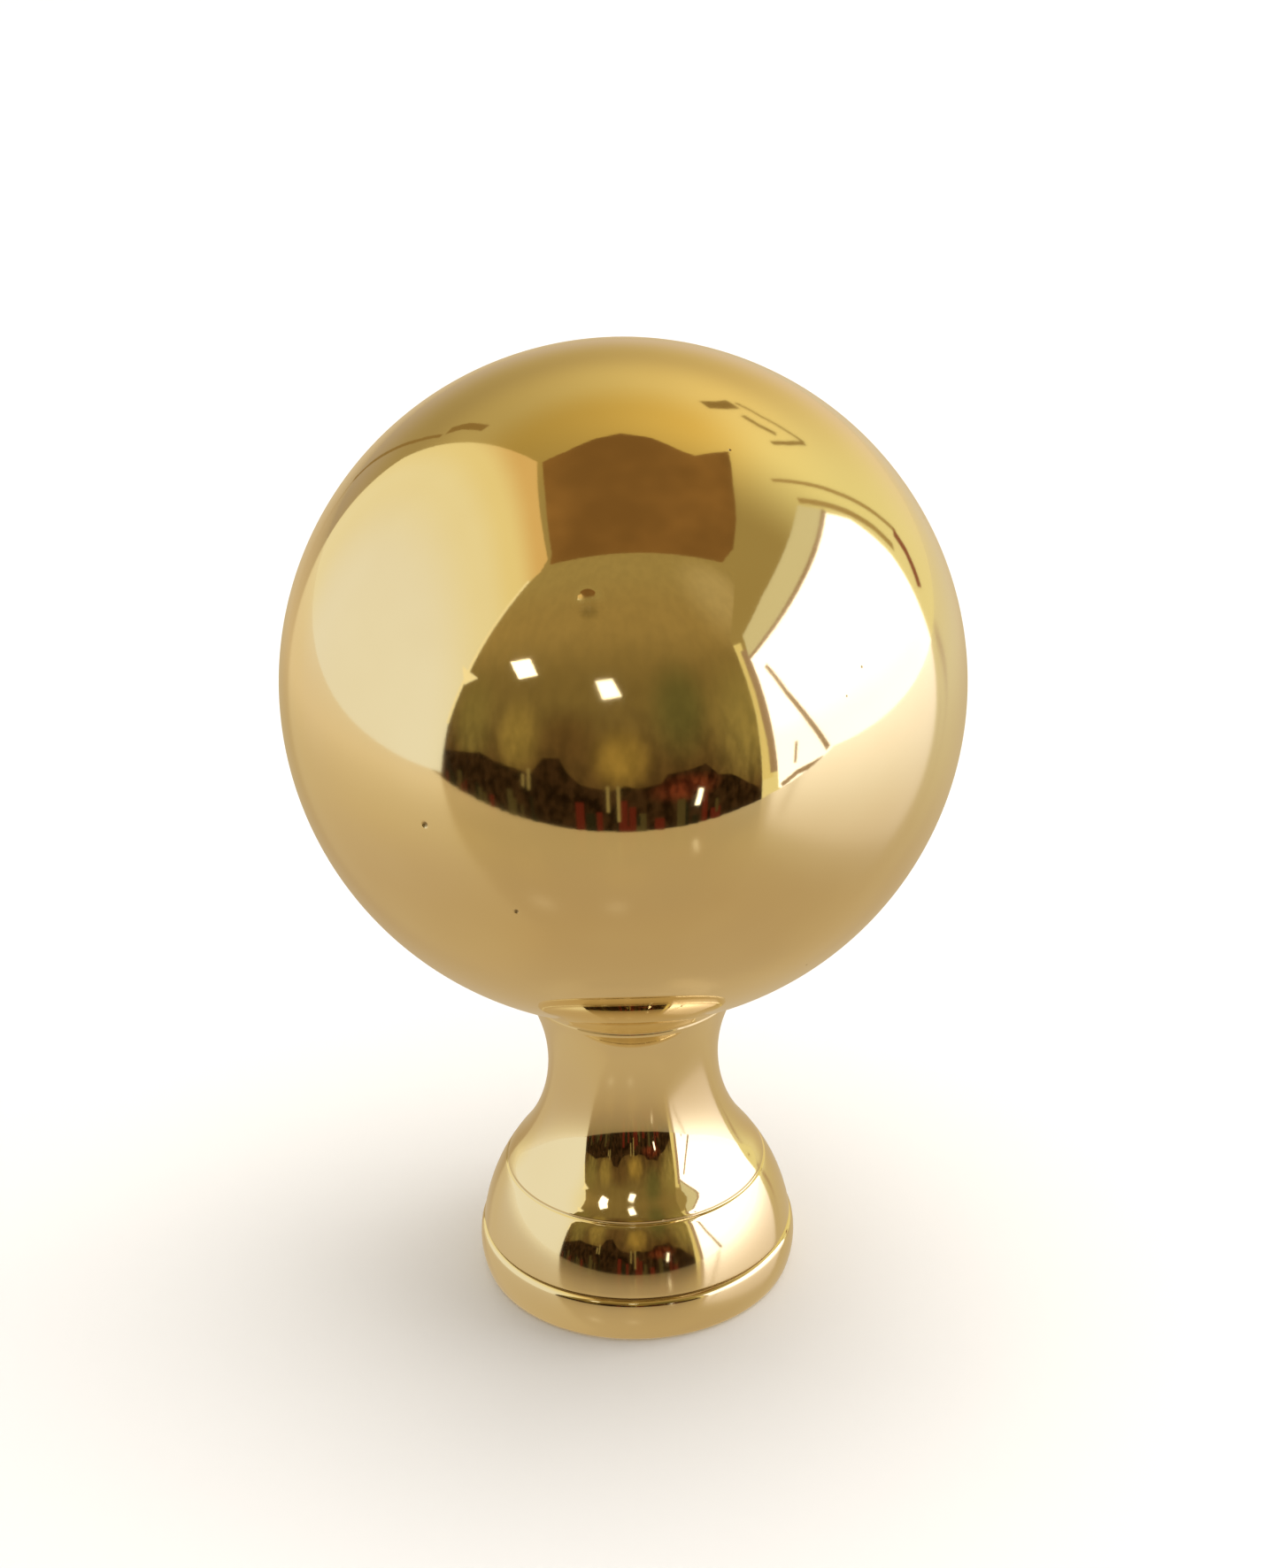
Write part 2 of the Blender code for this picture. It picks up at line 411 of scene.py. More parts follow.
# Brass: a range of noise or dirt is given as (from, to)
BRASS = (0.88, 0.74, 0.42)
BRASS_DEEP = (0.85, 0.70, 0.38)
BRASS_DIRT = (0.22, 0.15, 0.07)
CLOUD_SCALE = 55.0
CLOUD_RANGE = (0.35, 0.65)
SOIL_RANGE = (0.15, 1.0)
SOIL_STRENGTH = 0.75
SMUDGE_SCALE = 38.0
SMUDGE_RANGE = (0.38, 0.68)
SMUDGE_ROUGHNESS = (0.045, 0.085)
DIRT_ROUGH_RANGE = (0.05, 0.7)
DIRT_ROUGHNESS = 0.42
RIPPLE_SCALE = 95.0
RIPPLE_HEIGHT = 0.00002
RING_SCALE = 2600.0
RING_HEIGHT = 0.0000004
GRAIN_SCALE = 5200.0
GRAIN_HEIGHT = 0.00000025
COAT_WEIGHT = 0.25
COAT_ROUGHNESS = 0.04
COAT_REFRACTION = 1.45


def add(tree, kind, inputs=None, **settings):
    """A new node with its settings, and a value or a link for each input that is named."""
    node = tree.nodes.new("ShaderNode" + kind)
    for name, value in settings.items():
        setattr(node, name, value)
    for name, value in (inputs or {}).items():
        if isinstance(value, bpy.types.NodeSocket):
            tree.links.new(value, node.inputs[name])
        else:
            node.inputs[name].default_value = value
    return node


def new_material(name):
    material = bpy.data.materials.new(name)
    material.use_nodes = True
    material.node_tree.nodes.clear()
    return material, material.node_tree


def opaque(colour):
    return (*colour, 1.0)


def mixed(tree, share, first, second):
    """Colour between two colours, each a tuple or a socket, by a share socket."""
    node = add(tree, "Mix", {"Factor": share}, data_type="RGBA")
    for socket, colour in ((node.inputs[6], first), (node.inputs[7], second)):
        if isinstance(colour, bpy.types.NodeSocket):
            tree.links.new(colour, socket)
        else:
            socket.default_value = opaque(colour)
    return node.outputs[2]


def spread(tree, value, low, high, to_low, to_high):
    """A value mapped smoothly from one range to another."""
    inputs = {"Value": value, "From Min": low, "From Max": high, "To Min": to_low, "To Max": to_high}
    return add(tree, "MapRange", inputs, interpolation_type="SMOOTHSTEP").outputs["Result"]


def noise(tree, vector, scale, detail=2.0, roughness=0.5):
    inputs = {"Vector": vector, "Scale": scale, "Detail": detail, "Roughness": roughness}
    return add(tree, "TexNoise", inputs).outputs["Fac"]


def turning_place(tree, place):
    """Coordinates (distance from the axis, 0, height), in which every turned ring is one value."""
    parts = add(tree, "SeparateXYZ", {"Vector": place})
    flat = add(tree, "CombineXYZ", {"X": parts.outputs["X"], "Y": parts.outputs["Y"]})
    length = add(tree, "VectorMath", {0: flat.outputs["Vector"]}, operation="LENGTH")
    ring = add(tree, "CombineXYZ", {"X": length.outputs["Value"], "Z": parts.outputs["Z"]})
    return ring.outputs["Vector"]


def bumped(tree, height, distance, below=None):
    """Normal with a height map raised on it, over another normal if there is one."""
    inputs = {"Height": height, "Distance": distance}
    if below:
        inputs["Normal"] = below
    return add(tree, "Bump", inputs).outputs["Normal"]


def polished_brass():
    """Mirror finish with faint clouding, haze of fingers, turning rings, fine grain and dirt in the lines."""
    material, tree = new_material("polished_brass_finish")
    place = add(tree, "TexCoord").outputs["Object"]
    dirt = add(tree, "Attribute", attribute_name="dirt").outputs["Fac"]
    cloud = spread(tree, noise(tree, place, CLOUD_SCALE, 3.0), *CLOUD_RANGE, 0.0, 1.0)
    soil = spread(tree, dirt, *SOIL_RANGE, 0.0, SOIL_STRENGTH)
    tint = mixed(tree, soil, mixed(tree, cloud, BRASS, BRASS_DEEP), BRASS_DIRT)
    smudge = noise(tree, place, SMUDGE_SCALE, 4.0, 0.6)
    haze = spread(tree, smudge, *SMUDGE_RANGE, *SMUDGE_ROUGHNESS)
    rough = spread(tree, dirt, *DIRT_ROUGH_RANGE, 0.0, DIRT_ROUGHNESS)
    roughness = add(tree, "Math", {0: haze, 1: rough}, operation="MAXIMUM").outputs["Value"]
    rippled = bumped(tree, noise(tree, place, RIPPLE_SCALE, 1.0), RIPPLE_HEIGHT)
    ringed = bumped(tree, noise(tree, turning_place(tree, place), RING_SCALE), RING_HEIGHT, rippled)
    grained = bumped(tree, noise(tree, place, GRAIN_SCALE, 1.0), GRAIN_HEIGHT, ringed)
    inputs = {
        "Base Color": tint,
        "Metallic": 1.0,
        "Roughness": roughness,
        "Normal": grained,
        "Coat Weight": COAT_WEIGHT,
        "Coat Roughness": COAT_ROUGHNESS,
        "Coat IOR": COAT_REFRACTION,
    }
    shader = add(tree, "BsdfPrincipled", inputs)
    add(tree, "OutputMaterial", {"Surface": shader.outputs["BSDF"]})
    return material


def finial():
    """The one piece, which rides on the one body and stands for the solid."""
    piece = bpy.data.objects.new("turned_brass_finial", finial_mesh())
    bpy.context.scene.collection.objects.link(piece)
    piece.data.materials.append(polished_brass())
    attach(piece, "root")
    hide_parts("ball_finial")


# Studio: floor, backdrop and air
FLOOR_COLOUR = (0.84, 0.825, 0.80)
FLOOR_RADIUS = 1.25
BACKDROP_RADIUS = 1.9
BACKDROP_HEIGHT = 1.9
BACKDROP_STEPS = 24
ROUND_STEPS = 96
AIR_COLOUR = (1.0, 0.985, 0.96)
AIR_STRENGTH = 0.45

# Soft square lights: place, side, power in watts and colour
AREA_LIGHTS = {
    "overhead_light": ((0.1, 0.25, 1.8), 1.8, 29.0, (1.0, 0.99, 0.975)),
    "window_side_light": ((1.1, 0.1, 0.9), 0.9, 4.5, (1.0, 1.0, 1.0)),
}


def matt_surface(name, colour):
    """A plain matt finish, which mirrors nothing."""
    material, tree = new_material(name)
    inputs = {"Base Color": opaque(colour), "Roughness": 1.0, "Specular IOR Level": 0.0}
    shader = add(tree, "BsdfPrincipled", inputs)
    add(tree, "OutputMaterial", {"Surface": shader.outputs["BSDF"]})
    return material


def staged_object(name, bm, material):
    """Turns a mesh under construction into a staged object that isn't part of the finial."""
    mesh = bpy.data.meshes.new(name)
    bm.to_mesh(mesh)
    bm.free()
    mesh.materials.append(material)
    thing = bpy.data.objects.new(name, mesh)
    bpy.context.scene.collection.objects.link(thing)
    return thing


def backdrop_rows():
    """Rows (radius, height) from the floor's edge, up a quarter round, to the backdrop's top."""
    sweep = BACKDROP_RADIUS - FLOOR_RADIUS
    rows = [(FLOOR_RADIUS, 0.0)]
    for i in range(1, BACKDROP_STEPS + 1):
        angle = 0.5 * math.pi * i / BACKDROP_STEPS
        rows.append((FLOOR_RADIUS + sweep * math.sin(angle), sweep * (1.0 - math.cos(angle))))
    rows.append((BACKDROP_RADIUS, BACKDROP_HEIGHT))
    return rows


def floor_and_backdrop():
    """Flat floor, and the sweep round it that rises to the backdrop. Reflections don't show them."""
    material = matt_surface("pale_floor", FLOOR_COLOUR)
    bm = bmesh.new()
    bmesh.ops.create_circle(bm, cap_ends=True, segments=ROUND_STEPS, radius=FLOOR_RADIUS)
    staged_object("floor", bm, material).visible_glossy = False
    bm = bmesh.new()
    rings = []
    for radius, height in backdrop_rows():
        turns = [2.0 * math.pi * i / ROUND_STEPS for i in range(ROUND_STEPS)]
        rings.append([bm.verts.new((radius * math.cos(a), radius * math.sin(a), height)) for a in turns])
    for lower, upper in zip(rings, rings[1:]):
        for i in range(ROUND_STEPS):
            j = (i + 1) % ROUND_STEPS
            bm.faces.new((lower[i], lower[j], upper[j], upper[i])).smooth = True
    staged_object("backdrop", bm, material).visible_glossy = False


def area_light(name, place, side, power, colour):
    """A soft square light aimed at the ball, which reflections don't show."""
    data = bpy.data.lights.new(name, "AREA")
    data.shape = "SQUARE"
    data.size = side
    data.energy = power
    data.color = colour
    light = bpy.data.objects.new(name, data)
    light.location = place
    light.rotation_mode = "QUATERNION"
    light.rotation_quaternion = (ball_centre() - Vector(place)).to_track_quat("-Z", "Y")
    light.visible_glossy = False
    bpy.context.scene.collection.objects.link(light)


def lights():
    """The soft lights, and the pale air that fills the shadows."""
    for name, values in AREA_LIGHTS.items():
        area_light(name, *values)
    world = bpy.data.worlds.new("pale_air")
    world.use_nodes = True
    background = world.node_tree.nodes["Background"]
    background.inputs["Color"].default_value = opaque(AIR_COLOUR)
    background.inputs["Strength"].default_value = AIR_STRENGTH
    bpy.context.scene.world = world


# Room of cards that only reflections see, in ball radii (forward, right, up) from the ball's centre.
# Tones are stops of (value, colour).
PATCH_DETAIL = 3.0
PATCH_ROUGHNESS = 0.6
PATCH_RANGE = (0.32, 0.68)

# Table top: tones by distance from the finial. Then by distance to the right, as (from, to) and what each
# gives: the share of the painted window glare (light pooled towards the right), and the level that the left
# side's tone is raised by.
TABLE_LEVEL = -2.0
TABLE_LIFT = 0.004
TABLE_TONES = (
    (0.6, (0.58, 0.46, 0.31)),
    (2.2, (0.53, 0.40, 0.25)),
    (4.5, (0.57, 0.44, 0.255)),
    (9.0, (0.69, 0.54, 0.34)),
)
# Painted window glare: the pale tone the table top takes towards the window on the right
TABLE_WINDOW_GLARE_TONE = (0.73, 0.67, 0.56)
TABLE_WINDOW_GLARE_SPREAD = (0.8, 7.0, 0.0, 0.9)
TABLE_LEFT = (-6.0, -1.2, 1.15, 1.0)
TABLE_GLOSS = (1.0, 1.0, 1.0)
TABLE_ROUGHNESS = 0.20
TABLE_REFRACTION = 1.85
TABLE_EDGE = ((5.3, -12.0), (5.3, 12.0), (-8.0, 16.0), (-120.0, 60.0), (-120.0, -110.0))


def spot(forward, right, up):
    """Place in the scene of a spot given in ball radii from the ball's centre."""
    return Vector((right, -forward, up)) * BALL_RADIUS + ball_centre()


def seen(azimuth, elevation, distance):
    """A spot at a distance in a direction from the ball's centre, in degrees, right of forward and up."""
    side = math.radians(azimuth)
    up = math.radians(elevation)
    flat = distance * math.cos(up)
    return (flat * math.cos(side), flat * math.sin(side), distance * math.sin(up))


def reflections_only(thing):
    """Hides a thing from the camera and from every kind of ray but reflections."""
    thing.visible_camera = False
    thing.visible_diffuse = False
    thing.visible_transmission = False
    thing.visible_volume_scatter = False
    thing.visible_shadow = False


def finished_glow(material, tree, tint):
    """Makes a material shine with a colour, a tuple or a socket, without sampling it as a light."""
    lamp = add(tree, "Emission", {"Color": tint, "Strength": 1.0})
    add(tree, "OutputMaterial", {"Surface": lamp.outputs["Emission"]})
    material.cycles.emission_sampling = "NONE"
    return material


def glow(name, colour):
    """A material that shines evenly."""
    material, tree = new_material(name)
    return finished_glow(material, tree, opaque(colour))


def world_place(tree):
    return add(tree, "NewGeometry").outputs["Position"]


def from_ball(tree):
    """Parts X, Y and Z of the direction from the ball's centre to each point."""
    offset = add(tree, "VectorMath", {0: world_place(tree), 1: ball_centre()}, operation="SUBTRACT")
    way = add(tree, "VectorMath", {0: offset.outputs["Vector"]}, operation="NORMALIZE")
    return add(tree, "SeparateXYZ", {"Vector": way.outputs["Vector"]}).outputs


def share_between(tree, start, end):
    """0 at one point and 1 at another, even across the line that joins them."""
    along = end - start
    offset = add(tree, "VectorMath", {0: world_place(tree), 1: start}, operation="SUBTRACT")
    axis = along / along.length_squared
    dot = add(tree, "VectorMath", {0: offset.outputs["Vector"], 1: axis}, operation="DOT_PRODUCT")
    return add(tree, "Clamp", {"Value": dot.outputs["Value"]}).outputs["Result"]


def blended(tree, value, stops):
    """Colour that runs smoothly through stops, each a value and the colour there."""
    tint = stops[0][1]
    for (low, _), (high, colour) in zip(stops, stops[1:]):
        tint = mixed(tree, spread(tree, value, low, high, 0.0, 1.0), tint, colour)
    return tint


def dimmed(tree, tint, level):
    """The colour made darker or lighter by a level, where 1 leaves it as it is."""
    return add(tree, "VectorMath", {0: tint, "Scale": level}, operation="SCALE").outputs["Vector"]


def mottled(tree, tint, scale, stretch, low, high):
    """The colour made lighter and darker in patches, which are stretched along Z."""
    place = add(tree, "VectorMath", {0: world_place(tree), 1: (1.0, 1.0, stretch)}, operation="MULTIPLY")
    patches = noise(tree, place.outputs["Vector"], scale, PATCH_DETAIL, PATCH_ROUGHNESS)
    return dimmed(tree, tint, spread(tree, patches, *PATCH_RANGE, low, high))


def card(name, corners, material):
    """A flat card between corners given in ball radii (forward, right, up)."""
    bm = bmesh.new()
    bm.faces.new([bm.verts.new(spot(*corner)) for corner in corners])
    reflections_only(staged_object(name, bm, material))


def ribbon(name, places, half_width, material):
    """A thin flat strip through places, as wide as asked across the line of sight from the ball."""
    points = [spot(*place) for place in places]
    bm = bmesh.new()
    pairs = []
    for i, point in enumerate(points):
        run = points[min(i + 1, len(points) - 1)] - points[max(i - 1, 0)]
        aside = run.cross(point - ball_centre()).normalized() * half_width * BALL_RADIUS
        pairs.append((bm.verts.new(point + aside), bm.verts.new(point - aside)))
    for (a, b), (c, d) in zip(pairs, pairs[1:]):
        bm.faces.new((a, b, d, c))
    reflections_only(staged_object(name, bm, material))


def in_radii(tree, length):
    """A length in the scene as a number of ball radii."""
    return add(tree, "Math", {0: length, 1: BALL_RADIUS}, operation="DIVIDE").outputs["Value"]


def mirrored_table():
    """The tan, softly shining table top that the finial mirrors, with painted window glare towards its right.
    It lies just over the floor.
    """
    material, tree = new_material("table_glow")
    place = world_place(tree)
    away = add(tree, "VectorMath", {0: place}, operation="LENGTH").outputs["Value"]
    aside = in_radii(tree, add(tree, "SeparateXYZ", {"Vector": place}).outputs["X"])
    tint = blended(tree, in_radii(tree, away), TABLE_TONES)
    tint = dimmed(tree, tint, spread(tree, aside, *TABLE_LEFT))
    # Painted window glare: the table turns paler towards the window on the right
    tint = mixed(tree, spread(tree, aside, *TABLE_WINDOW_GLARE_SPREAD), tint, TABLE_WINDOW_GLARE_TONE)
    lamp = add(tree, "Emission", {"Color": tint})
    shine = add(tree, "BsdfGlossy", {"Color": opaque(TABLE_GLOSS), "Roughness": TABLE_ROUGHNESS})
    fresnel = add(tree, "Fresnel", {"IOR": TABLE_REFRACTION})
    shaders = {0: fresnel.outputs["Fac"], 1: lamp.outputs["Emission"], 2: shine.outputs["BSDF"]}
    add(tree, "OutputMaterial", {"Surface": add(tree, "MixShader", shaders).outputs["Shader"]})
    material.cycles.emission_sampling = "NONE"
    corners = [(forward, right, TABLE_LEVEL + TABLE_LIFT) for forward, right in TABLE_EDGE]
    card("mirrored_table", corners, material)


# Dark room in front, over the table's near edge: places on its plane as (right, up).
# What stands before it has a gap to it, so that nothing lies in one plane.
SCREEN_FORWARD = 5.3
FOOT_GAP = 0.02
RIM_GAP = 0.03
LEDGE_GAP = 0.04
CLUTTER_GAP = 0.05
POST_GAP = 0.06
LAMP_GAP = 0.1
SCREEN_OUTLINE = (
    (-8.1, -2.0), (4.45, -2.0), (4.36, 1.0), (4.1, 4.0), (7.9, 10.9), (1.0, 10.45),
    (-4.15, 10.0), (-4.9, 8.5), (-5.65, 5.8), (-6.6, 2.85), (-7.4, 0.9),
)
SCREEN_FOOT = -1.6
SCREEN_HEAD = 8.5
SCREEN_TONES = (
    (0.0, (0.0773, 0.0353, 0.0131)),
    (0.10, (0.105, 0.0611, 0.0214)),
    (0.34, (0.205, 0.145, 0.0506)),
    (0.62, (0.35, 0.247, 0.0923)),
    (1.0, (0.373, 0.282, 0.113)),
)
SCREEN_PATCH_SCALE = 110.0
SCREEN_PATCH_STRETCH = 0.5
SCREEN_CALM = 0.42
SCREEN_PATCH_LOW = (0.70, 0.95)
SCREEN_PATCH_HIGH = (1.28, 1.04)

# Soft blots of colour in it: place, half sizes, colour and strength
BLOT_CORE = 0.2
SCREEN_BLOTS = (
    ((-1.6, 0.6), (1.3, 1.2), (0.109, 0.0588, 0.0208), 0.70),
    ((-3.3, 0.6), (1.1, 1.5), (0.345, 0.251, 0.0714), 0.70),
    ((-5.6, 0.9), (1.6, 2.4), (0.236, 0.188, 0.0595), 0.70),
    ((-0.1, 0.1), (1.0, 1.1), (0.364, 0.243, 0.0595), 0.75),
    ((1.6, 1.5), (1.2, 1.9), (0.118, 0.118, 0.0387), 0.70),
    ((4.0, 0.9), (2.0, 2.8), (0.327, 0.259, 0.0893), 0.80),
    ((4.7, 6.9), (2.6, 4.2), (0.5, 0.392, 0.196), 0.80),
)

# Nearly black things along its foot
FOOT_TOP = (
    (-7.7, -0.6), (-4.9, -0.15), (-4.2, -0.3), (-2.7, -0.45), (-2.3, 0.05), (-1.8, 0.1), (-1.55, -0.3),
    (-1.2, -0.6), (-0.4, -0.75), (0.0, -0.6), (0.3, -0.7), (0.9, -0.6), (1.1, -0.35), (1.8, -0.3),
    (2.2, -0.2), (2.6, -0.6), (3.1, -0.7), (4.4, -1.6),
)
FOOT_TONE = (0.0375, 0.0188, 0.00802)
FOOT_PATCH_SCALE = 170.0
FOOT_PATCH_STRETCH = 0.6
FOOT_PATCHES = (0.3, 1.35)
FOOT_RED = ((1.6, -0.8), (1.3, 0.5), (0.182, 0.0392, 0.0179), 0.75)

# Pale posts (right, top, bottom), and narrow blocks of uneven height
POST_TONE = (0.309, 0.243, 0.101)
POSTS = ((-0.47, -0.6, -1.35), (-0.2, -0.6, -1.65), (-2.75, -0.3, -0.95), (-2.95, -0.5, -0.9))
POST_HALF_WIDTH = 0.04
CLUTTER_TONES = ((0.02, 0.0172, 0.00774), (0.109, 0.0172, 0.00952), (0.0773, 0.0588, 0.0226))
CLUTTER_BLOCKS = 16
CLUTTER_RIGHT = (-7.6, 4.0)
CLUTTER_TOP = (-1.85, -1.0)
CLUTTER_HALF_WIDTH = (0.03, 0.13)

# Bright edge against the left wall, and a small ledge on it
SCREEN_RIM = ((-7.45, 0.6), (-6.62, 2.7), (-5.68, 5.7), (-4.95, 8.4))
SCREEN_RIM_TONE = (1.05, 0.956, 0.685)
SCREEN_RIM_HALF_WIDTH = 0.09
SCREEN_LEDGE = ((-7.3, 3.3), (-5.7, 2.6), (-6.6, 2.35))

# Small bright panes
LAMP_TONE = (2.91, 2.82, 2.74)
LAMPS = (
    ((-3.99, 3.14), (-3.14, 3.21), (-2.70, 2.57), (-3.42, 2.46)),
    ((-0.79, 2.31), (-0.31, 2.36), (-0.06, 1.84), (-0.57, 1.75)),
    ((1.95, -0.87), (2.08, -0.90), (1.96, -1.39), (1.82, -1.36)),
)


def before_screen(gap, places):
    """Spots in front of the dark room's plane, by a gap and their (right, up)."""
    return [(SCREEN_FORWARD - gap, right, up) for right, up in places]


def blot(tree, tint, place, reach, colour, strength):
    """Turns the colour towards another one in a soft ellipse round a place on the screen."""
    centre = spot(SCREEN_FORWARD, *place)
    offset = add(tree, "VectorMath", {0: world_place(tree), 1: centre}, operation="SUBTRACT")
    size = (1.0 / (reach[0] * BALL_RADIUS), 0.0, 1.0 / (reach[1] * BALL_RADIUS))
    scaled = add(tree, "VectorMath", {0: offset.outputs["Vector"], 1: size}, operation="MULTIPLY")
    away = add(tree, "VectorMath", {0: scaled.outputs["Vector"]}, operation="LENGTH").outputs["Value"]
    return mixed(tree, spread(tree, away, BLOT_CORE, 1.0, strength, 0.0), tint, colour)


def dark_screen():
    """The dark room's back: olive and even above, patchy below."""
    material, tree = new_material("screen_glow")
    foot = spot(SCREEN_FORWARD, 0.0, SCREEN_FOOT)
    head = spot(SCREEN_FORWARD, 0.0, SCREEN_HEAD)
    share = share_between(tree, foot, head)
    tint = blended(tree, share, SCREEN_TONES)
    for values in SCREEN_BLOTS:
        tint = blot(tree, tint, *values)
    low = spread(tree, share, 0.0, SCREEN_CALM, *SCREEN_PATCH_LOW)
    high = spread(tree, share, 0.0, SCREEN_CALM, *SCREEN_PATCH_HIGH)
    tint = mottled(tree, tint, SCREEN_PATCH_SCALE, SCREEN_PATCH_STRETCH, low, high)
    card("dark_screen", before_screen(0.0, SCREEN_OUTLINE), finished_glow(material, tree, tint))


def screen_rim():
    """The bright edge of the dark room against the left wall, with its ledge."""
    tone = glow("rim_glow", SCREEN_RIM_TONE)
    ribbon("screen_rim", before_screen(RIM_GAP, SCREEN_RIM), SCREEN_RIM_HALF_WIDTH, tone)
    card("screen_ledge", before_screen(LEDGE_GAP, SCREEN_LEDGE), tone)


def dark_foot():
    """Nearly black things with an uneven top along the dark room's foot, reddish on the right."""
    sides = ((FOOT_TOP[-1][0], TABLE_LEVEL), (FOOT_TOP[0][0], TABLE_LEVEL))
    material, tree = new_material("foot_glow")
    tint = blot(tree, FOOT_TONE, *FOOT_RED)
    tint = mottled(tree, tint, FOOT_PATCH_SCALE, FOOT_PATCH_STRETCH, *FOOT_PATCHES)
    card("dark_foot", before_screen(FOOT_GAP, FOOT_TOP + sides), finished_glow(material, tree, tint))


def posts():
    """Thin pale uprights at the dark room's foot."""
    tone = glow("post_glow", POST_TONE)
    for i, (right, top, bottom) in enumerate(POSTS):
        places = before_screen(POST_GAP, ((right, top), (right, bottom)))
        ribbon(f"screen_post_{i}", places, POST_HALF_WIDTH, tone)


def clutter():
    """Narrow upright things of uneven height along the dark room's foot."""
    draw = random.Random(SEED)
    for i, tone in enumerate(CLUTTER_TONES):
        material = glow(f"clutter_glow_{i}", tone)
        for j in range(CLUTTER_BLOCKS):
            right = draw.uniform(*CLUTTER_RIGHT)
            top = draw.uniform(*CLUTTER_TOP)
            half_width = draw.uniform(*CLUTTER_HALF_WIDTH)
            places = before_screen(CLUTTER_GAP, ((right, top), (right, TABLE_LEVEL)))
            ribbon(f"clutter_{i}_{j}", places, half_width, material)


def lamps():
    """Small bright panes just in front of the dark room."""
    tone = glow("lamp_glow", LAMP_TONE)
    for i, outline in enumerate(LAMPS):
        card(f"lamp_{i}", before_screen(LAMP_GAP, outline), tone)


# Left wall: tones by how far to the right of the ball's centre the direction to it points
WALL_CORNERS = (
    (8.85, -7.1, -2.0), (8.3, -7.5, 17.7), (-16.2, -23.5, 64.0), (-142.0, -106.0, 64.0),
    (-141.5, -105.5, -2.0),
)
WALL_TONES = (
    (-0.90, (0.92, 0.915, 0.92)),
    (-0.66, (0.92, 0.86, 0.65)),
    (-0.52, (0.90, 0.79, 0.47)),
    (-0.39, (0.78, 0.54, 0.25)),
)


def left_wall():
    """Cream wall, which turns to a warm orange towards the dark room."""
    material, tree = new_material("wall_glow")
    tint = blended(tree, from_ball(tree)["X"], WALL_TONES)
    card("left_wall", WALL_CORNERS, finished_glow(material, tree, tint))


# Dark block overhead: places at its height as (forward, right)
CEILING_HEIGHT = 35.0
CEILING_OUTLINE = (
    (18.0, -15.0), (16.8, 3.4), (18.3, 21.6), (11.5, 23.8), (3.7, 22.3), (-5.0, 19.9), (-14.0, 18.3),
    (-8.8, 12.2), (-9.1, 9.9), (-11.4, 5.0), (-12.3, 0.4), (-11.0, -3.6), (-9.0, -7.8), (-7.9, -11.9),
    (0.3, -12.3), (14.8, -13.7),
)
CEILING_TONE = (0.25, 0.129, 0.0405)
CEILING_PATCH_SCALE = 1.6
CEILING_PATCHES = (0.82, 1.25)


def dark_ceiling():
    """The brown block, a little uneven in tone."""
    corners = [(forward, right, CEILING_HEIGHT) for forward, right in CEILING_OUTLINE]
    material, tree = new_material("ceiling_glow")
    tint = mottled(tree, CEILING_TONE, CEILING_PATCH_SCALE, 1.0, *CEILING_PATCHES)
    card("dark_ceiling", corners, finished_glow(material, tree, tint))


# Window wall on the right: places on it as (along, up), where along runs away from the camera.
# Lines are (places, half width), and each layer has a gap to the window.
WINDOW_DISTANCE = 30.0
LINTEL_GAP = 0.1
JAMB_GAP = 0.2
LINE_GAP = 0.3
WINDOW_NORMAL = math.radians(96.0)
WINDOW_OUTLINE = (
    (-33.0, -13.0), (15.0, -13.0), (13.5, 0.0), (13.1, 7.0), (10.9, 15.4), (8.0, 20.3), (-37.0, 20.3),
)
WINDOW_LOW = (0.0, -2.0)
WINDOW_HIGH = (0.0, 4.0)
WINDOW_TONES = ((0.0, (2.0, 1.96, 2.32)), (1.0, (2.36, 2.27, 2.74)))
LINTEL_OUTLINE = (
    (-36.5, 27.6), (-22.0, 28.4), (-3.0, 27.3), (5.5, 27.0), (8.2, 21.2), (-15.0, 21.1), (-37.5, 20.9),
)
LINTEL_TONE = (0.727, 0.682, 0.5)
JAMB_LINE = ((-42.3, 28.3), (-42.3, 15.5), (-41.1, 5.8), (-39.5, -1.6), (-38.0, -11.0))
JAMB_TONE = (0.855, 0.737, 0.369)
JAMB_HALF_WIDTH = 2.1
FRAME_TONE = (0.4, 0.282, 0.196)
FRAME_LINES = (
    (((-38.4, 24.0), (-37.9, 17.0), (-37.2, 12.0), (-36.4, 4.5), (-35.2, -2.2), (-34.4, -9.0)), 1.2),
    (((-37.0, 20.7), (-15.0, 20.7), (8.3, 20.7)), 0.42),
    (((-31.4, 15.7), (-26.9, 7.1), (-22.1, 0.3), (-17.4, -5.7)), 0.55),
    (((-18.8, -7.3), (-26.2, -9.2), (-31.6, -12.2)), 0.55),
    (((-26.4, -2.9), (-27.1, -7.2)), 0.35),
)
EDGE_TONE = (0.418, 0.29, 0.119)
EDGE_LINES = (
    (((9.6, 34.8), (12.3, 26.2), (15.1, 17.9), (17.6, 11.7), (19.9, 5.7)), 0.42),
    (((6.9, 26.8), (9.9, 20.5), (12.2, 15.5), (14.1, 10.7), (15.2, 6.5)), 0.55),
)
RED_TONE = (0.273, 0.0784, 0.0506)
RED_LINES = (
    (((18.9, 6.4), (18.6, 3.9), (17.6, 2.2), (16.4, 0.6)), 0.8),
)


def on_window_wall(places, gap=0.0):
    """Spots on the window's wall, or a gap in front of it, by their (along, up)."""
    out = WINDOW_DISTANCE - gap
    turn = WINDOW_NORMAL
    return [
        (out * math.cos(turn) - along * math.sin(turn), out * math.sin(turn) + along * math.cos(turn), up)
        for along, up in places
    ]


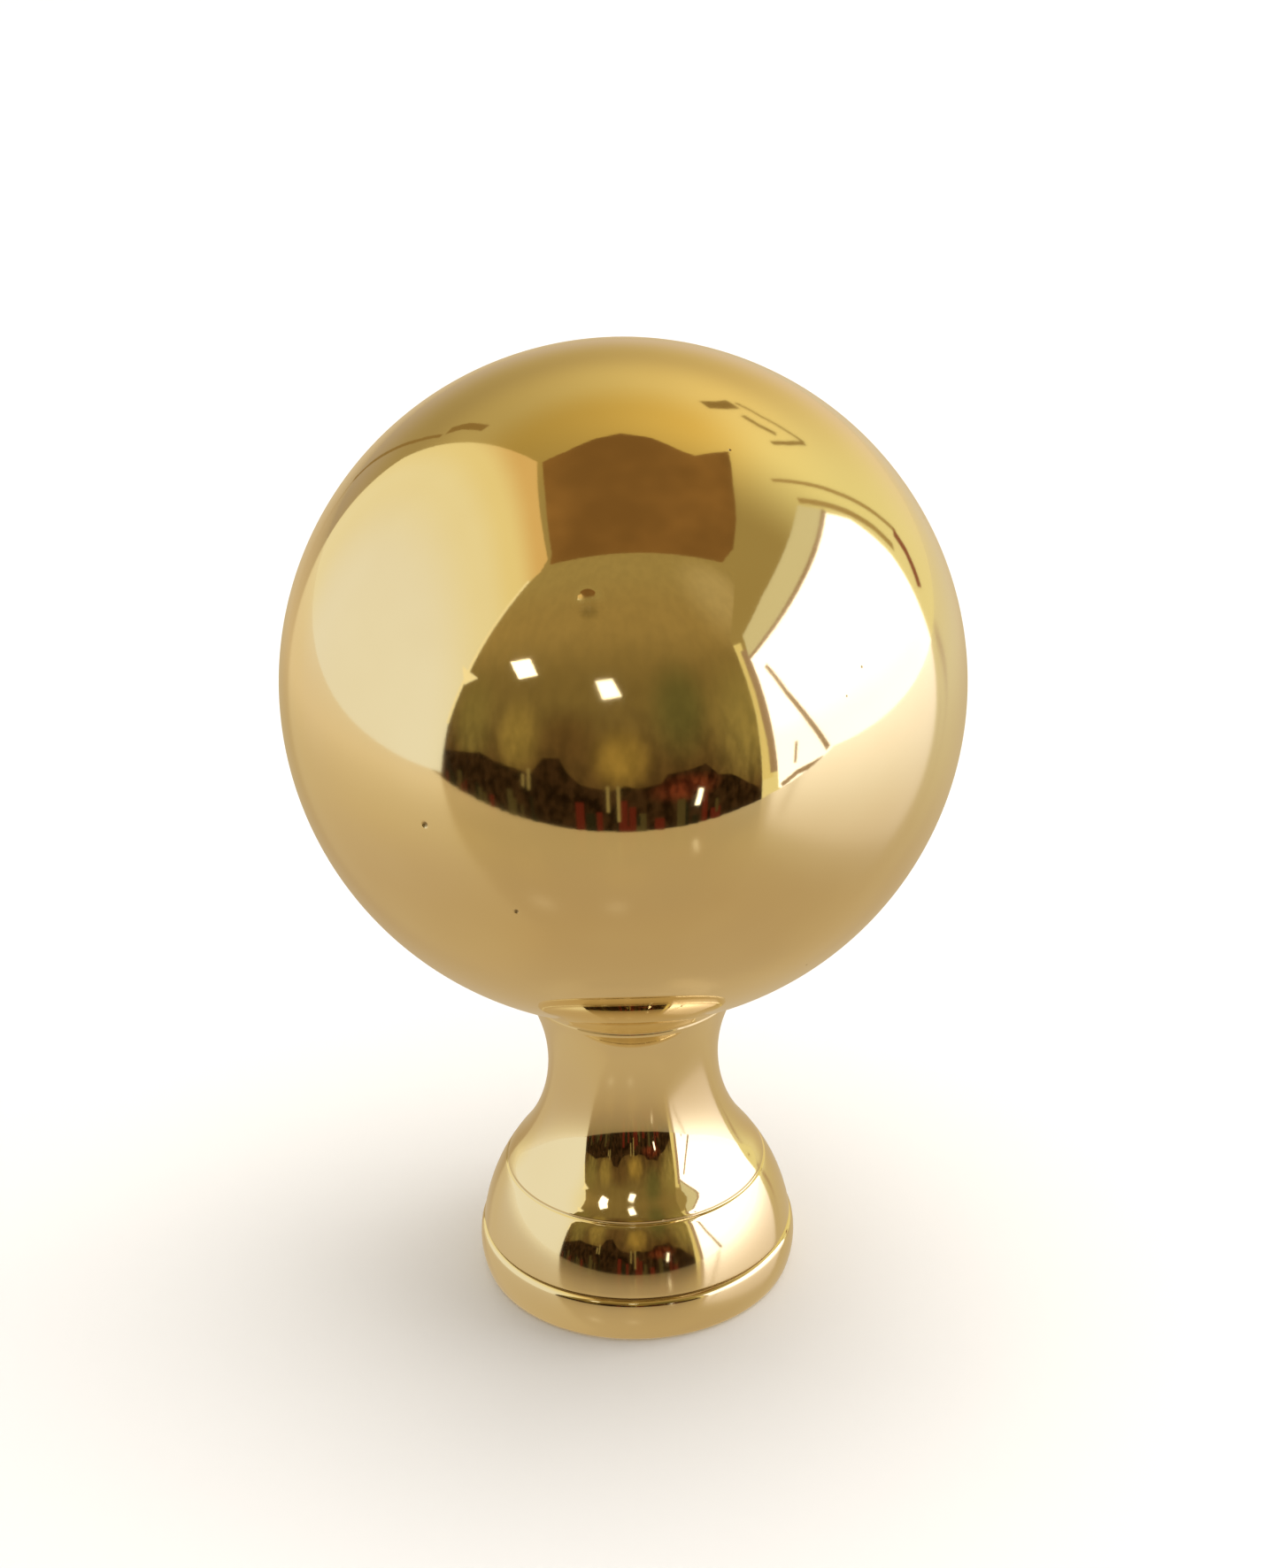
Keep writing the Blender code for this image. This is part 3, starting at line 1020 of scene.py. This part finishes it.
def wall_lines(name, lines, tone):
    """Thin lines on the window's wall, all of one colour."""
    material = glow(f"{name}_glow", tone)
    for i, (places, half_width) in enumerate(lines):
        ribbon(f"window_{name}_{i}", on_window_wall(places, LINE_GAP), half_width, material)


def window_wall():
    """The bright window with its lintel, jamb, frame and edges."""
    material, tree = new_material("window_glow")
    low, high = (spot(*place) for place in on_window_wall((WINDOW_LOW, WINDOW_HIGH)))
    tint = blended(tree, share_between(tree, low, high), WINDOW_TONES)
    card("window", on_window_wall(WINDOW_OUTLINE), finished_glow(material, tree, tint))
    lintel = on_window_wall(LINTEL_OUTLINE, LINTEL_GAP)
    card("window_lintel", lintel, glow("lintel_glow", LINTEL_TONE))
    jamb = on_window_wall(JAMB_LINE, JAMB_GAP)
    ribbon("window_jamb", jamb, JAMB_HALF_WIDTH, glow("jamb_glow", JAMB_TONE))
    wall_lines("frame", FRAME_LINES, FRAME_TONE)
    wall_lines("edge", EDGE_LINES, EDGE_TONE)
    wall_lines("red", RED_LINES, RED_TONE)


# Thin marks far off behind: (azimuth, elevation) of their places in degrees, and half width
FAR_DISTANCE = 90.0
FAR_TONE = (0.29, 0.185, 0.062)
FAR_LINES = (
    (((155.4, 45.8), (153.2, 42.0), (152.8, 38.4)), 2.6),
    (((153.4, 37.1), (147.2, 35.4), (142.7, 32.4), (139.3, 29.6)), 0.75),
    (((134.9, 41.2), (136.6, 35.7), (139.1, 29.8)), 0.9),
    (((147.5, 41.0), (142.9, 39.8), (139.7, 37.1)), 1.2),
    (((-146.2, 29.5), (-146.6, 34.0), (-144.6, 41.5)), 1.6),
    (((-157.0, -7.1), (-155.1, -2.1), (-153.8, 2.8), (-150.9, 10.2), (-147.6, 19.5), (-145.0, 28.4)), 0.7),
)


def far_marks():
    """Thin brown lines behind the finial, which the top of the ball mirrors."""
    tone = glow("far_glow", FAR_TONE)
    for i, (directions, half_width) in enumerate(FAR_LINES):
        ribbon(f"far_mark_{i}", [seen(*way, FAR_DISTANCE) for way in directions], half_width, tone)


# The rest of the room: colours, and where each comes in, as (from, to) of the direction's part X, Y or Z
DOME_RADIUS = 6.0
DOME_STEPS = 48
FRONT_TONE = (0.373, 0.282, 0.113)
HORIZON_TONE = (0.618, 0.486, 0.327)
LOW_TONE = (0.545, 0.415, 0.185)
GOLD_HIGH = (0.693, 0.547, 0.244)
GOLD_MIDDLE = (0.626, 0.445, 0.136)
SIDE_SHADE = (0.74, 1.42)
RIGHT_TONE = (0.92, 0.88, 0.50)
RIGHT_STRENGTH = 0.8
LOW_RANGE = (0.0, 0.34)
GOLD_HIGH_RANGE = (0.36, 0.64)
GOLD_MIDDLE_RANGE = (0.66, 0.86)
SIDE_RANGE = (-0.5, 0.6)
RIGHT_RANGE = (0.25, 0.8)
BEHIND_RANGE = (-0.1, 0.5)
FRONT_RANGE = (0.1, 0.5)


def dome():
    """Pale near the horizon, gold above it behind the finial, paler on the right, and olive in front."""
    material, tree = new_material("room_glow")
    way = from_ball(tree)
    up = way["Z"]
    tint = mixed(tree, spread(tree, up, *LOW_RANGE, 0.0, 1.0), HORIZON_TONE, LOW_TONE)
    tint = mixed(tree, spread(tree, up, *GOLD_HIGH_RANGE, 0.0, 1.0), tint, GOLD_HIGH)
    tint = mixed(tree, spread(tree, up, *GOLD_MIDDLE_RANGE, 0.0, 1.0), tint, GOLD_MIDDLE)
    tint = dimmed(tree, tint, spread(tree, way["X"], *SIDE_RANGE, *SIDE_SHADE))
    tint = mixed(tree, spread(tree, way["X"], *RIGHT_RANGE, 0.0, RIGHT_STRENGTH), tint, RIGHT_TONE)
    behind = spread(tree, way["Y"], *BEHIND_RANGE, 0.0, 1.0)
    low = spread(tree, up, *FRONT_RANGE, 1.0, 0.0)
    back = add(tree, "Math", {0: behind, 1: low}, operation="MAXIMUM").outputs["Value"]
    tint = mixed(tree, back, FRONT_TONE, tint)
    bm = bmesh.new()
    bmesh.ops.create_uvsphere(bm, u_segments=DOME_STEPS, v_segments=DOME_STEPS // 2, radius=DOME_RADIUS)
    room = staged_object("room", bm, finished_glow(material, tree, tint))
    room.location = ball_centre()
    reflections_only(room)


# Camera
CAMERA_DISTANCE = 7.7 * BALL_RADIUS
CAMERA_ELEVATION = math.radians(23.21)
CAMERA_YAW = math.radians(0.368)
CAMERA_PITCH = math.radians(-2.211)
CAMERA_ROLL = math.radians(-1.45)
CAMERA_LENS = 60.34
SENSOR = 36.0
CLIP_START = 0.01
CLIP_END = 20.0


def camera():
    """Looks slightly down on the finial from close by, aimed a little under the ball's centre."""
    back = Vector((0.0, -math.cos(CAMERA_ELEVATION), math.sin(CAMERA_ELEVATION)))
    data = bpy.data.cameras.new("camera")
    data.lens = CAMERA_LENS
    data.sensor_width = SENSOR
    data.sensor_fit = "AUTO"
    data.clip_start = CLIP_START
    data.clip_end = CLIP_END
    eye = bpy.data.objects.new("camera", data)
    bpy.context.scene.collection.objects.link(eye)
    eye.location = ball_centre() + back * CAMERA_DISTANCE
    eye.rotation_mode = "QUATERNION"
    aim = (-back).to_track_quat("-Z", "Y")
    aim @= Quaternion((0.0, 1.0, 0.0), -CAMERA_YAW)
    aim @= Quaternion((1.0, 0.0, 0.0), CAMERA_PITCH)
    aim @= Quaternion((0.0, 0.0, 1.0), CAMERA_ROLL)
    eye.rotation_quaternion = aim
    bpy.context.scene.camera = eye


bpy.context.scene.view_settings.view_transform = "Standard"
camera()
finial()
floor_and_backdrop()
lights()
dome()
mirrored_table()
left_wall()
dark_ceiling()
window_wall()
dark_screen()
screen_rim()
dark_foot()
posts()
clutter()
lamps()
far_marks()
